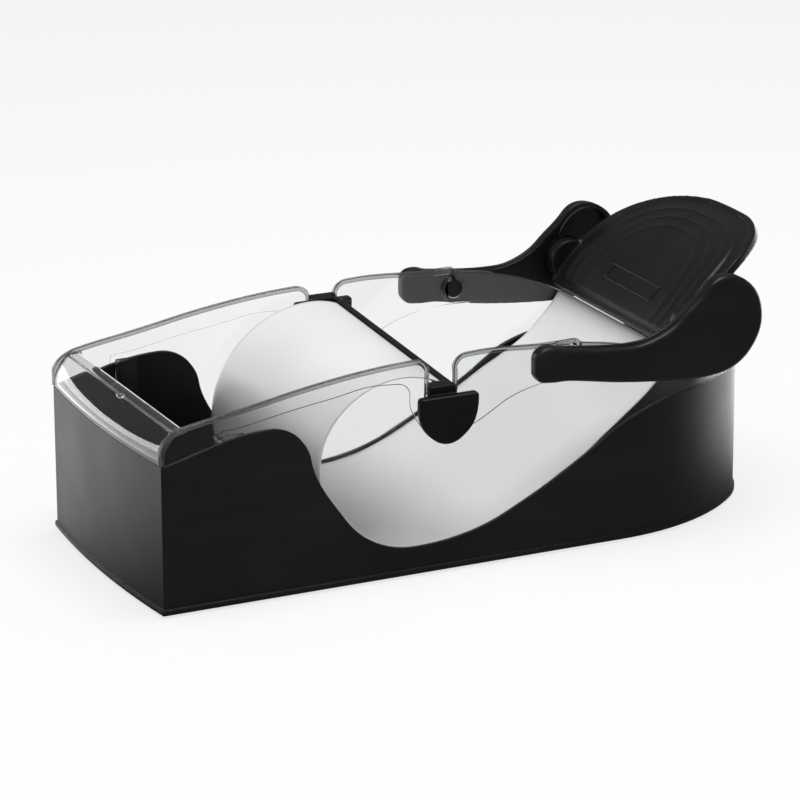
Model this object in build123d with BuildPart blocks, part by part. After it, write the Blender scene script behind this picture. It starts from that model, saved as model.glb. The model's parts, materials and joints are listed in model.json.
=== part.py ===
"""A table-top sushi maker: a black base with a trough, a clear hood that lifts off it, a foil sling, and a lever.

The foil hangs from a crossbar seated in two notches of the hood, lies in the trough, climbs the slope behind it and
ends in a clamp under the lever's paddle. Swinging the lever forward pulls the foil round the food and rolls it.
Millimetres. x runs from the front wall to the back, z is up, left is +y. The origin is at the middle of the
footprint of the whole object, on the table.
"""

import os
from math import acos, atan2, cos, degrees, radians, sin, sqrt

from build123d import *

os.makedirs("parts", exist_ok=True)

# Base, a black moulded casing that is straight at the front and rounded at the back
base_width = 112.0
base_straight = 195.0
base_round = 76.0
base_end_radius = 43.0
base_wall = 2.4
foot_lift = 1.0
plinth_height = 2.2
plinth_step = 0.7
front_height = 60.0
front_bulge = 3.2
crest_x = 44.0
crest_height = 68.4
trough_x = 105.0
trough_height = 12.0
trough_radius = 36.0
trough_span = 55.0
deck_x = 224.0
deck_height = 57.0

# Bed, the curved sheet that the foil lies on
bed_sheet = 2.0
bed_drop = 2.6
tray_floor = 20.0
tray_length = 52.0
lip_x = 60.5
lip_height = 26.0

# Feet
foot_radius = 6.0
foot_height = 3.0
foot_pad = 16.0
foot_pad_height = 4.0
rear_foot_x = 212.0
rear_foot_inset = 12.5

# Clear hood
hood_wall = 1.8
hood_front_rise = 6.0
hood_shoulder_x = 10.0
hood_shoulder_rise = 13.9
hood_top_height = 86.9
hood_corner = 6.0
notch_x = 115.8
notch_width = 11.4
notch_floor = 65.0
hood_rear_rise = 5.0
step_thickness = 0.8
bar_back_x = 10.0
bar_strip = 4.6
bar_sheet = 2.0
tab_width = 9.0
tab_length = 8.0
tab_sheet = 1.6

# Crossbar that carries the front end of the foil
rod_x = 121.5
rod_bottom = 70.6
rod_width = 3.8
rod_height = 3.8
bead_radius = 1.2
crossbar_tilt = 3.4
cap_offset = 1.6
cap_width = 25.2
cap_top = 72.8
cap_depth = 19.8
cap_thickness = 3.5
neck_top = 76.0
neck_inset = 5.4

# Foil sling
foil_inset = 7.2
foil_sheet = 0.8
loop_x = 101.5
loop_z = 43.3
loop_radius = 35.3

# Lever
pivot_x = 175.0
pivot_rise = 20.5
pin_radius = 3.7
pin_length = 7.0
arm_gap = 1.4
arm_thickness = 6.1
arm_nose = 22.0
arm_rim = 2.2
arm_dish = 3.0
horn_reach = 78.4
horn_height = 28.2
clamp_x = 218.2
clamp_rise = 19.2
paddle_chord = 67.5
paddle_rise = 32.7
paddle_bend = 45.0
paddle_sheet = 2.6
paddle_inset = 6.8
paddle_bulge_inset = 3.2
paddle_rim = 2.4
paddle_rim_height = 1.0
hub_x = 227.0
hub_rise = 27.0
hub_radius = 8.8
pad_margin = 7.0
pad_start = 3.0
pad_sheet = 0.8
clamp_depth = 3.8
clamp_reach = 8.0

# Clearances
running_gap = 0.05
slide_gap = 0.1
soft_gap = 0.4

# Sizes that follow from the ones above
half_width = base_width / 2
rear_foot_y = half_width - rear_foot_inset
neck_inner = half_width - neck_inset
foil_width = base_width - 2 * foil_inset
arm_inner = half_width + arm_gap
paddle_half = half_width - paddle_inset
paddle_bulge = half_width - paddle_bulge_inset
hood_front_height = front_height + hood_front_rise
hood_shoulder_height = front_height + hood_shoulder_rise
hood_rear_height = deck_height + hood_rear_rise
cap_x = notch_x + cap_offset
tilt_slope = sin(radians(crossbar_tilt))
pivot_z = deck_height + pivot_rise
clamp_z = deck_height + clamp_rise
hub_z = deck_height + hub_rise
paddle_turn = radians(paddle_bend / 2)
paddle_radius = paddle_chord / (2 * sin(paddle_turn))
tip_x = clamp_x + paddle_chord * cos(radians(paddle_rise))
front_reach = front_bulge + plinth_step
overall_length = front_reach + tip_x + paddle_sheet / cos(paddle_turn) * sin(radians(paddle_rise))


def at_x(distance):
    """The x of a point this far behind the front corners of the base."""
    return distance + front_reach - overall_length / 2


def shares(start, end, fractions):
    """Points between two points, each given by its share of the way along x and along z."""
    return [
        (start[0] + u * (end[0] - start[0]), start[1] + v * (end[1] - start[1]))
        for u, v in fractions
    ]


def arc_towards(here, there, heading):
    """An arc that leaves here along the heading, or a straight line where it would be nearly flat."""
    if heading.cross(there - here).length < flat_share * (there - here).length:
        return Line(here, there)
    return TangentArc(here, there, tangent=heading)


def heading_at(before, here, after):
    """The direction of a smooth line at the middle one of three points."""
    leg_in = Vector(*here) - Vector(*before)
    leg_out = Vector(*after) - Vector(*here)
    mean = leg_in.normalized() * leg_out.length + leg_out.normalized() * leg_in.length
    return mean.normalized()


def smooth_line(points, start, end):
    """Pairs of tangent arcs through the points, leaving along start and arriving along end."""
    spots = [Vector(*point) for point in points]
    headings = [heading_at(*three) for three in zip(points, points[1:], points[2:])]
    headings = [Vector(*start).normalized()] + headings + [Vector(*end).normalized()]
    for here, there, leave, arrive in zip(spots, spots[1:], headings, headings[1:]):
        span = there - here
        along = span.dot(leave + arrive)
        bend = 2 * max(1 - leave.dot(arrive), flat_share**2)
        reach = (sqrt(along**2 + bend * span.dot(span)) - along) / bend
        joint = (here + there + (leave - arrive) * reach) * 0.5
        first = arc_towards(here, joint, leave)
        arc_towards(joint, there, first % 1)


flat_share = 1e-3
front_top = (0.0, front_height)
front_back = (base_wall, front_height)
crest = (crest_x, crest_height)
trough = (trough_x, trough_height)
deck = (deck_x, deck_height)
trough_centre = (trough_x, trough_height + trough_radius)
basin_tangent = (cos(radians(trough_span)), -sin(radians(trough_span)))
basin_start = (
    trough_x - trough_radius * sin(radians(trough_span)),
    trough_centre[1] - trough_radius * cos(radians(trough_span)),
)
fall_shares = [(0.34, 0.09), (0.465, 0.2), (0.62, 0.54)]
climb_shares = [(0.233, 0.084), (0.42, 0.296), (0.607, 0.573), (0.795, 0.876)]
fall = shares(crest, basin_start, fall_shares)
climb = shares(trough, deck, climb_shares)


def placed(points, drop=0.0):
    """Side-view points moved into the part's frame, lowered by drop."""
    return [(at_x(x), z - drop) for x, z in points]


def rim_line():
    """The wavy top edge of the base, drawn from the front wall to behind the rear wall."""
    Line(*placed([front_top, front_back]))
    smooth_line(placed([front_back, crest]), (1, 0.27), (1, 0))
    smooth_line(placed([crest] + fall + [basin_start]), (1, 0), basin_tangent)
    CenterArc(placed([trough_centre])[0], trough_radius, 270 - trough_span, trough_span)
    smooth_line(placed([trough] + climb + [deck]), (1, 0), (1, 0))
    Line(*placed([deck, (overall_length, deck_height)]))


def base_plan(inset, front=0.0, mode=Mode.ADD):
    """The base seen from above, moved inward by inset: a shallow arc at front, three arcs at the back."""
    half = half_width - inset
    straight = at_x(base_straight)
    end_offset = base_round - base_end_radius
    side_radius = (end_offset**2 + half_width**2 - base_end_radius**2) / (2 * (half_width - base_end_radius))
    side_offset = side_radius - half_width
    turn = degrees(atan2(end_offset, side_offset))
    with BuildLine() as outline:
        Line((straight, -half), (at_x(front), -half))
        ThreePointArc((at_x(front), -half), (at_x(front - front_bulge), 0), (at_x(front), half))
        Line((at_x(front), half), (straight, half))
        CenterArc((straight, side_offset), side_radius - inset, -90, turn)
        CenterArc((straight + end_offset, 0), base_end_radius - inset, turn - 90, 180 - 2 * turn)
        CenterArc((straight, -side_offset), side_radius - inset, 90 - turn, turn)
    make_face(outline.edges(), mode=mode)


def below_rim():
    """The side view of everything below the rim line."""
    with BuildLine() as outline:
        rim_line()
        Polyline(
            *placed(
                [
                    (overall_length, deck_height),
                    (overall_length, 0),
                    (-front_reach, 0),
                    (-front_reach, front_height),
                    front_top,
                ]
            )
        )
    make_face(outline.edges())


# Base casing: a thin wall all round, open below, with the wavy rim and a seat for each foot
front_foot = (base_wall + foot_pad / 2, half_width - base_wall - foot_pad / 2)
foot_places = [
    (at_x(front_foot[0]), -front_foot[1]),
    (at_x(front_foot[0]), front_foot[1]),
    (at_x(rear_foot_x), -rear_foot_y),
    (at_x(rear_foot_x), rear_foot_y),
]
with BuildPart() as base_casing:
    with BuildSketch(Plane.XY.offset(foot_lift)):
        base_plan(0)
        base_plan(base_wall, front=base_wall, mode=Mode.SUBTRACT)
    extrude(amount=crest_height)
    with BuildSketch(Plane.XZ):
        below_rim()
    extrude(amount=base_width, both=True, mode=Mode.INTERSECT)
    with BuildSketch(Plane.XY.offset(foot_lift)):
        base_plan(-plinth_step, front=-plinth_step)
        base_plan(base_wall, front=base_wall, mode=Mode.SUBTRACT)
    extrude(amount=plinth_height)
    with BuildSketch(Plane.XY.offset(foot_lift)):
        with Locations(*foot_places):
            Rectangle(foot_pad + base_wall, foot_pad + base_wall)
        base_plan(base_wall, front=base_wall, mode=Mode.INTERSECT)
    extrude(amount=foot_pad_height)
    with BuildSketch(Plane.XY.offset(foot_lift)):
        with Locations(*foot_places):
            Circle(foot_radius + running_gap)
    extrude(amount=foot_height - foot_lift, mode=Mode.SUBTRACT)
base_casing.part.label = "base_casing"
export_step(base_casing.part, "parts/base_casing.step")

# Rubber feet, pressed into the seats and standing a little below the casing
foot_names = ["foot_front_right", "foot_front_left", "foot_rear_right", "foot_rear_left"]
for foot_name, place in zip(foot_names, foot_places):
    with BuildPart() as foot:
        with Locations((place[0], place[1], 0)):
            Cylinder(foot_radius, foot_height, align=(Align.CENTER, Align.CENTER, Align.MIN))
    foot.part.label = foot_name
    export_step(foot.part, f"parts/{foot_name}.step")

# Bed: the tray floor, a low lip, the trough, the slope and the rear deck, one bent sheet
tray_end = (tray_length, tray_floor)
lip = (lip_x, lip_height)
basin = shares(lip, (trough_x, trough_height - bed_drop), [(0.22, 0.55), (0.45, 0.86), (0.72, 0.98)])
bed_trough = (trough_x, trough_height - bed_drop)
bed_deck = (deck_x, deck_height - bed_drop)
bed_climb = [(x, z - bed_drop) for x, z in climb]


def bed_line():
    """The top of the bed from the front wall to behind the rear wall."""
    Line(*placed([(-front_bulge, tray_floor), tray_end]))
    smooth_line(placed([tray_end, lip]), (1, 0), (1, 0))
    smooth_line(placed([lip] + basin + [bed_trough]), (1, 0), (1, 0))
    smooth_line(placed([bed_trough] + bed_climb + [bed_deck]), (1, 0), (1, 0))
    Line(*placed([bed_deck, (overall_length, bed_deck[1])]))


with BuildPart() as inner_bed:
    with BuildSketch(Plane.XZ):
        with BuildLine() as bed_path:
            bed_line()
        trace(line_width=2 * bed_sheet)
        with BuildLine():
            bed_line()
            Polyline(
                *placed(
                    [
                        (overall_length, bed_deck[1]),
                        (overall_length, 0),
                        (-front_bulge, 0),
                        (-front_bulge, tray_floor),
                    ]
                )
            )
        make_face(mode=Mode.INTERSECT)
    extrude(amount=half_width, both=True)
    with BuildSketch(Plane.XY):
        base_plan(base_wall, front=base_wall)
    extrude(amount=crest_height, mode=Mode.INTERSECT)
inner_bed.part.label = "inner_bed"
export_step(inner_bed.part, "parts/inner_bed.step")

# Clear hood: two thin side walls that stand on the rim and meet behind, and a bar across the front
hood_front = (0.0, hood_front_height)
hood_shoulder = (hood_shoulder_x, hood_shoulder_height)
notch_left = notch_x - notch_width / 2
notch_right = notch_x + notch_width / 2
hood_peak = (notch_left, hood_top_height)
rear_peak = (notch_right + 2 * hood_corner, hood_top_height + 0.5)
hood_tail = (deck_x + 8, hood_rear_height + 4.5)
front_rise = shares(hood_shoulder, hood_peak, [(0.25, 0.32), (0.55, 0.72), (0.8, 0.94)])
rear_fall = shares(rear_peak, hood_tail, [(0.22, 0.05), (0.42, 0.13), (0.65, 0.33), (0.86, 0.66)])


def hood_side(mode=Mode.ADD):
    """The side view of the hood: the rim line below, the crown line with its two humps above."""
    with BuildLine() as outline:
        rim_line()
        Line(*placed([front_top, hood_front]))
        smooth_line(placed([hood_front, hood_shoulder]), (0.25, 1), (1, 0.2))
        smooth_line(placed([hood_shoulder] + front_rise + [hood_peak]), (1, 0.2), (1, 0))
        Line(*placed([hood_peak, (notch_right, hood_peak[1])]))
        Line(*placed([(notch_right, hood_peak[1]), rear_peak]))
        smooth_line(placed([rear_peak] + rear_fall + [hood_tail]), (1, 0), (1, -0.5))
        Polyline(
            *placed(
                [
                    hood_tail,
                    (base_straight + base_round, hood_rear_height),
                    (overall_length, hood_rear_height),
                    (overall_length, deck_height),
                ]
            )
        )
    make_face(outline.edges(), mode=mode)


def notch_cutter(width, floor, top):
    """The side view of a U-shaped seat of the crossbar."""
    radius = width / 2
    with BuildLine() as outline:
        left = at_x(notch_x) - radius
        right = at_x(notch_x) + radius
        ThreePointArc((left, floor + radius), (at_x(notch_x), floor), (right, floor + radius))
        Polyline((right, floor + radius), (right, top), (left, top), (left, floor + radius))
    make_face(outline.edges())


# Each side wall is thicker below this line, which dips under the notch
step_line = [
    (23.5, 69.1),
    (64.9, 75.6),
    (94.0, 78.5),
    (100.7, 77.3),
    (104.0, 66.0),
    (112.0, 56.0),
    (121.0, 54.0),
    (130.9, 58.2),
    (149.4, 67.6),
    (160.3, 70.2),
    (186.0, 70.8),
]


def below_step(mode=Mode.ADD):
    """The side view of everything below the step line."""
    start = step_line[0]
    end = step_line[-1]
    with BuildLine() as outline:
        smooth_line(placed(step_line), (1, 0.12), (1, 0))
        Polyline(*placed([end, (end[0], 0), (start[0], 0), start]))
    make_face(outline.edges(), mode=mode)


def mirrored(part):
    """The same piece on the other side of the middle plane."""
    with BuildPart() as other:
        mirror(part, about=Plane.XZ)
    return other.part


hood_inner = half_width - hood_wall
tab_outer = half_width - base_wall - slide_gap
tab_box = (tab_width, 2 * tab_length)
tab_middle = (at_x(crest_x * 0.68), crest_height - tab_length * 0.8)
lip_box = (8.3, 2.0)
lip_middle = (at_x(pivot_x - 5.0), hood_top_height - 1.7)
eye_rim = 1.9
eye_depth = 1.0
slit_width = 1.6
with BuildPart() as clear_wall_right:
    with BuildSketch(Plane.XY):
        base_plan(0)
        base_plan(hood_wall, front=-hood_wall, mode=Mode.SUBTRACT)
    extrude(amount=hood_top_height + hood_corner)
    with BuildSketch(Plane.XZ):
        hood_side()
    extrude(amount=base_width, both=True, mode=Mode.INTERSECT)
    split(bisect_by=Plane.XZ, keep=Keep.TOP)
    with BuildSketch(Plane.XZ.offset(hood_inner - step_thickness)):
        hood_side()
        below_step(mode=Mode.INTERSECT)
    extrude(amount=step_thickness)
    with BuildSketch(Plane.XZ.offset(neck_inner)):
        notch_cutter(notch_width, notch_floor, hood_top_height + 2 * hood_corner)
    extrude(amount=half_width, mode=Mode.SUBTRACT)
    crown_corners = clear_wall_right.edges().filter_by(Axis.Y)
    crown_corners = crown_corners.filter_by_position(Axis.X, at_x(notch_left) - 0.1, at_x(notch_right) + 0.1)
    crown_corners = crown_corners.filter_by_position(Axis.Z, hood_top_height - 1, hood_top_height + 1)
    fillet(crown_corners, radius=hood_corner - 0.5)
    with BuildSketch(Plane.XZ.offset(hood_inner - eye_depth)):
        with Locations((at_x(pivot_x), pivot_z)):
            Circle(pin_radius + eye_rim)
    extrude(amount=eye_depth)
    with BuildSketch(Plane.XZ.offset(hood_inner - eye_depth)):
        with Locations(lip_middle):
            Rectangle(*lip_box)
    extrude(amount=eye_depth + hood_wall / 2)
    with BuildSketch(Plane.XZ.offset(neck_inner)):
        with Locations((at_x(pivot_x), pivot_z)):
            Circle(pin_radius + running_gap)
            Rectangle(slit_width, 3 * pin_radius, align=(Align.CENTER, Align.MIN))
    extrude(amount=half_width, mode=Mode.SUBTRACT)
    with BuildSketch(Plane.XZ.offset(tab_outer - tab_sheet)):
        with Locations(tab_middle):
            Rectangle(*tab_box)
    extrude(amount=tab_sheet)
    with BuildSketch(Plane.XZ.offset(tab_outer)):
        with Locations(tab_middle):
            Rectangle(*tab_box)
        hood_side(mode=Mode.INTERSECT)
    extrude(amount=hood_inner - tab_outer)
clear_wall_right.part.label = "clear_wall_right"
export_step(clear_wall_right.part, "parts/clear_wall_right.step")
clear_wall_left = mirrored(clear_wall_right.part)
clear_wall_left.label = "clear_wall_left"
export_step(clear_wall_left, "parts/clear_wall_left.step")

# Clear bar across the front, a bent strip that stands on the front wall between the side walls
bar_knee = (bar_back_x - bar_strip, hood_shoulder_height - 1.7)
bar_back = (bar_back_x, hood_shoulder_height - 1.3)


def bar_section(reach):
    """The side view of the bar where its foot stands this far in front of the corners."""
    foot_front = (-reach, front_height)
    foot_back = (bar_sheet - reach, front_height)
    inner_knee = (bar_knee[0] + 1, bar_knee[1] - bar_sheet)
    inner_back = (bar_back[0], bar_back[1] - bar_sheet)
    with BuildLine() as outline:
        Line(*placed([foot_front, bar_knee]))
        Line(*placed([bar_knee, bar_back]))
        Line(*placed([bar_back, inner_back]))
        Line(*placed([inner_back, inner_knee]))
        Line(*placed([inner_knee, foot_back]))
        Line(*placed([foot_back, foot_front]))
    make_face(outline.edges())


bar_swell = front_bulge * (1 - (hood_inner / half_width) ** 2)
bar_reaches = [(-hood_inner, bar_swell), (0.0, front_bulge), (hood_inner, bar_swell)]
with BuildPart() as front_clear_bar:
    for along, reach in bar_reaches:
        with BuildSketch(Plane.XZ.offset(along)):
            bar_section(reach)
    loft()
front_clear_bar.part.label = "front_clear_bar"
export_step(front_clear_bar.part, "parts/front_clear_bar.step")

# Crossbar: a black rod with a slot for the foil's front bead, and a D-shaped cap at each end. It stands a little
# askew in the notches: its right end is seated and its left end isn't quite pressed home.
rod_left = rod_x - rod_width / 2
rod_right = rod_x + rod_width / 2
rod_middle = rod_bottom + rod_height / 2
rod_half = hood_inner - step_thickness - 2 * slide_gap
slot_height = 1.5
seat_axis = Axis((at_x(notch_x), -half_width, notch_floor), (1, 0, 0))


def askew(level_part, name):
    """The piece turned about the seat of the right-hand cap, with its name."""
    turned = level_part.rotate(seat_axis, crossbar_tilt)
    turned.label = name
    return turned


with BuildPart() as crossbar_rod:
    with BuildSketch(Plane.XZ):
        with Locations((at_x(rod_x), rod_middle)):
            RectangleRounded(rod_width, rod_height, 0.9)
            Circle(bead_radius + running_gap, mode=Mode.SUBTRACT)
        with Locations((at_x(rod_left), rod_middle)):
            Rectangle(rod_width, slot_height, mode=Mode.SUBTRACT)
    extrude(amount=rod_half, both=True)
export_step(askew(crossbar_rod.part, "crossbar_rod"), "parts/crossbar_rod.step")

cap_inner = half_width + (cap_depth + notch_floor - cap_top) * tilt_slope + 2 * slide_gap
stump_outer = hood_inner - (rod_bottom - notch_floor) * tilt_slope - 2 * slide_gap
cap_corner = 3.0
cap_rim = [
    (
        at_x(cap_x) - cap_width / 2 * cos(radians(angle)),
        cap_top - cap_corner - (cap_depth - cap_corner) * sin(radians(angle)),
    )
    for angle in range(0, 181, 45)
]
with BuildPart() as end_cap_right:
    with BuildSketch(Plane.XZ.offset(cap_inner)):
        with BuildLine():
            Polyline(cap_rim[0], (cap_rim[0][0], cap_top), (cap_rim[-1][0], cap_top), cap_rim[-1])
            smooth_line(cap_rim, (0, -1), (0, 1))
        make_face()
    extrude(amount=cap_thickness)
    fillet(end_cap_right.edges().filter_by(Axis.Y).sort_by(Axis.Z)[-2:], radius=cap_corner / 2)
    chamfer(end_cap_right.faces().sort_by(Axis.Y)[0].edges(), length=cap_corner / 4)
    with BuildSketch(Plane.XZ.offset(neck_inner)):
        notch_cutter(notch_width - 2 * slide_gap, notch_floor + slide_gap, neck_top)
    extrude(amount=cap_inner - neck_inner)
    with BuildSketch(Plane.XZ.offset(neck_inner)):
        with Locations((at_x(notch_x), rod_bottom)):
            Rectangle(rod_right - notch_x, rod_height, align=(Align.MIN, Align.MAX))
    extrude(amount=stump_outer - neck_inner)
    with BuildSketch(Plane.XZ.offset(neck_inner)):
        with Locations((at_x(rod_left), rod_bottom)):
            Rectangle(2 * rod_width, 2 * rod_height, align=(Align.MIN, Align.MIN))
    extrude(amount=rod_half + slide_gap - neck_inner, mode=Mode.SUBTRACT)
export_step(askew(end_cap_right.part, "end_cap_right"), "parts/end_cap_right.step")
export_step(askew(mirrored(end_cap_right.part), "end_cap_left"), "parts/end_cap_left.step")

with BuildPart() as foil_front_bead:
    with BuildSketch(Plane.XZ):
        with Locations((at_x(rod_x), rod_middle)):
            Circle(bead_radius)
    extrude(amount=foil_width / 2, both=True)
export_step(askew(foil_front_bead.part, "foil_front_bead"), "parts/foil_front_bead.step")

# Lever paddle: a bent sheet whose side view is an arc from the clamp edge up to the tip
clamp_angle = paddle_rise + paddle_bend / 2
clamp_along = (cos(radians(clamp_angle)), sin(radians(clamp_angle)))
bend_centre = (
    clamp_x + paddle_radius * clamp_along[1],
    clamp_z - paddle_radius * clamp_along[0],
)
paddle_plane = Plane(
    origin=(at_x(clamp_x), 0, clamp_z),
    x_dir=(cos(radians(paddle_rise)), 0, sin(radians(paddle_rise))),
    z_dir=(-sin(radians(paddle_rise)), 0, cos(radians(paddle_rise))),
)


def bent_strip(low, high, start, end, mode=Mode.ADD):
    """The side view of a strip between two heights above the paddle's top face and two lengths from its edge."""
    start_angle = 90 + clamp_angle - degrees(start / paddle_radius)
    end_angle = 90 + clamp_angle - degrees(end / paddle_radius)
    centre = placed([bend_centre])[0]
    with BuildLine() as outline:
        upper = CenterArc(centre, paddle_radius + high, end_angle, start_angle - end_angle)
        lower = CenterArc(centre, paddle_radius + low, end_angle, start_angle - end_angle)
        Line(upper @ 0, lower @ 0)
        Line(upper @ 1, lower @ 1)
    make_face(outline.edges(), mode=mode)


paddle_shares = [(0.13, 1.0), (0.43, 0.945), (0.716, 0.80), (0.875, 0.62), (0.96, 0.42)]


def paddle_outline(margin=0.0, start=0.0, mode=Mode.ADD):
    """The paddle seen square on, this far inside its edge, from start up to the broad arch at the tip."""
    side = [(u * (paddle_chord - margin), v * (paddle_bulge - margin)) for u, v in paddle_shares]
    corner = (min(start, side[0][0] / 2), paddle_half - margin)
    tip = (paddle_chord - margin, 0.0)
    with BuildLine() as outline:
        smooth_line([corner] + side + [tip], (1, 0.7), (0, -1))
        mirror(about=Plane.XZ)
        Line(corner, (corner[0], -corner[1]))
    make_face(outline.edges(), mode=mode)


paddle_arc = radians(paddle_bend) * paddle_radius
overrun = 4.0
with BuildPart() as paddle_bead:
    with BuildSketch(Plane.XZ):
        bent_strip(-paddle_sheet / 2, paddle_rim_height, -overrun, paddle_arc + overrun)
    extrude(amount=base_width, both=True)
    with BuildSketch(paddle_plane):
        paddle_outline()
        paddle_outline(paddle_rim, start=-overrun, mode=Mode.SUBTRACT)
    extrude(amount=paddle_chord, both=True, mode=Mode.INTERSECT)

with BuildPart() as hub:
    with BuildSketch(Plane.XZ.offset(paddle_half)):
        with Locations((at_x(hub_x), hub_z)):
            Circle(hub_radius)
    extrude(amount=arm_inner - paddle_half)

with BuildPart() as paddle:
    with BuildSketch(Plane.XZ):
        bent_strip(-paddle_sheet, 0, -overrun, paddle_arc + overrun)
    extrude(amount=base_width, both=True)
    with BuildSketch(paddle_plane):
        paddle_outline()
    extrude(amount=paddle_chord, both=True, mode=Mode.INTERSECT)
    add(paddle_bead.part)
    add(hub.part)
    add(mirrored(hub.part))
paddle.part.label = "paddle"
export_step(paddle.part, "parts/paddle.step")

# Thumb pad: a soft inlay on the paddle with raised contour rings
pad_rings = 3
ring_step = 6.0
ring_width = 1.2
ring_height = 0.4


def beyond_pad_start():
    """Keeps only the part of a sketch on the paddle that lies past the start of the inlay."""
    with Locations((pad_start, 0)):
        Rectangle(2 * paddle_chord, base_width, align=(Align.MIN, Align.CENTER), mode=Mode.INTERSECT)


with BuildPart() as pad_ridges:
    with BuildSketch(Plane.XZ):
        bent_strip(pad_sheet / 2, pad_sheet + ring_height, 0, paddle_arc)
    extrude(amount=base_width, both=True)
    with BuildSketch(paddle_plane):
        for ring in range(pad_rings):
            ring_margin = pad_margin + ring_step * (ring + 0.5)
            paddle_outline(ring_margin)
            paddle_outline(ring_margin + ring_width, start=-overrun, mode=Mode.SUBTRACT)
        beyond_pad_start()
    extrude(amount=paddle_chord, both=True, mode=Mode.INTERSECT)

with BuildPart() as thumb_pad:
    with BuildSketch(Plane.XZ):
        bent_strip(0, pad_sheet, 0, paddle_arc)
    extrude(amount=base_width, both=True)
    with BuildSketch(paddle_plane):
        paddle_outline(pad_margin)
        beyond_pad_start()
    extrude(amount=paddle_chord, both=True, mode=Mode.INTERSECT)
    add(pad_ridges.part)
thumb_pad.part.label = "thumb_pad"
export_step(thumb_pad.part, "parts/thumb_pad.step")

# Clamp bar under the paddle's front edge, with a slot and a bore that hold the foil's rear bead
slot_depth = -(paddle_sheet + bead_radius + soft_gap)
clamp_normal = (-clamp_along[1], clamp_along[0])


def clamp_point(along, height):
    """A side-view point this far along the paddle from its edge and this far above its top face."""
    return (
        clamp_x + along * clamp_along[0] + height * clamp_normal[0],
        clamp_z + along * clamp_along[1] + height * clamp_normal[1],
    )


clamp_half = paddle_half - soft_gap
bead_place = placed([clamp_point(clamp_reach / 2, slot_depth)])[0]
with BuildPart() as foil_clamp:
    with BuildSketch(Plane.XZ):
        bent_strip(-paddle_sheet - clamp_depth, -paddle_sheet, 0, clamp_reach)
        with Locations(bead_place):
            Circle(bead_radius + running_gap, mode=Mode.SUBTRACT)
        with Locations(Location((*bead_place, 0), (0, 0, clamp_angle))):
            Rectangle(clamp_reach, slot_height, align=(Align.MAX, Align.CENTER), mode=Mode.SUBTRACT)
    extrude(amount=clamp_half, both=True)
foil_clamp.part.label = "foil_clamp"
export_step(foil_clamp.part, "parts/foil_clamp.step")

with BuildPart() as foil_rear_bead:
    with BuildSketch(Plane.XZ):
        with Locations(bead_place):
            Circle(bead_radius)
    extrude(amount=foil_width / 2, both=True)
foil_rear_bead.part.label = "foil_rear_bead"
export_step(foil_rear_bead.part, "parts/foil_rear_bead.step")

# Lever arms: a flat bar along each wall that swells into a horn beside the paddle, dished on its inner face
nose = (-arm_nose, 0.16 * horn_height)
chin = (-arm_nose, -0.01 * horn_height)
nose_under = (-0.79 * arm_nose, -0.155 * horn_height)
nose_over = (-0.79 * arm_nose, 0.31 * horn_height)
wrist = (-0.35 * arm_nose, 0.27 * horn_height)
waist = (0.12 * horn_reach, 0.195 * horn_height)
shoulder = (0.34 * horn_reach, 0.20 * horn_height)
upper_arm = (0.47 * horn_reach, 0.34 * horn_height)
flank = (0.60 * horn_reach, 0.64 * horn_height)
horn_top = (0.785 * horn_reach, horn_height)
horn_brow = (0.954 * horn_reach, 0.76 * horn_height)
horn_back = (horn_reach, 0.335 * horn_height)
heel = (0.925 * horn_reach, -0.17 * horn_height)
belly = (0.62 * horn_reach, -0.44 * horn_height)
shin = (0.2 * horn_reach, -0.335 * horn_height)
palm = (-0.3 * arm_nose, -0.205 * horn_height)


def from_pivot(*points):
    """Side-view points given from the pivot, moved into the part's frame."""
    return placed([(pivot_x + x, pivot_z + z) for x, z in points])


def arm_outline():
    """The arm seen from the side."""
    with BuildLine() as outline:
        smooth_line(
            from_pivot(nose, nose_over, wrist, waist, shoulder, upper_arm, flank, horn_top), (0, 1), (1, 0)
        )
        smooth_line(from_pivot(horn_top, horn_brow, horn_back), (1, 0), (0, -1))
        smooth_line(from_pivot(horn_back, heel, belly), (0, -1), (-1, 0.05))
        smooth_line(from_pivot(belly, shin, palm, nose_under, chin), (-1, 0.05), (0, 1))
        Line(*from_pivot(chin, nose))
    make_face(outline.edges())


dish_middle = (0.785 * horn_reach, 0.40 * horn_height)
dish_radii = (15.0, 11.5)
dish_tilt = 70
pin_seat = 3.6
arm_rim_flats = [(0.35 * arm_rim, 0.9 * arm_rim), (0.4 * arm_rim, 0.4 * arm_rim)]
groove_depth = 0.6
with BuildPart() as arm_right:
    with BuildSketch(Plane.XZ.offset(arm_inner)):
        arm_outline()
    extrude(amount=arm_thickness)
    for on_face, on_wall in arm_rim_flats:
        outer_face = arm_right.faces().sort_by(Axis.Y)[0]
        chamfer(outer_face.edges(), length=on_face, length2=on_wall, reference=outer_face)
    with BuildSketch(Plane.XZ.offset(arm_inner)):
        with Locations(*from_pivot(dish_middle)):
            Ellipse(*dish_radii, rotation=dish_tilt)
        with Locations((at_x(hub_x), hub_z)):
            Circle(hub_radius + slide_gap, mode=Mode.SUBTRACT)
    extrude(amount=arm_dish, mode=Mode.SUBTRACT)
    with BuildSketch(Plane.XZ.offset(arm_inner)):
        with Locations((at_x(pivot_x + shoulder[0]), pivot_z - arm_rim)):
            Rectangle(0.55 * horn_reach, slot_height / 2)
    extrude(amount=groove_depth, mode=Mode.SUBTRACT)
    with BuildSketch(Plane.XZ.offset(arm_inner)):
        with Locations((at_x(pivot_x), pivot_z)):
            Circle(pin_radius + running_gap)
    extrude(amount=pin_seat, mode=Mode.SUBTRACT)
arm_right.part.label = "arm_right"
export_step(arm_right.part, "parts/arm_right.step")
arm_left = mirrored(arm_right.part)
arm_left.label = "arm_left"
export_step(arm_left, "parts/arm_left.step")

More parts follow.
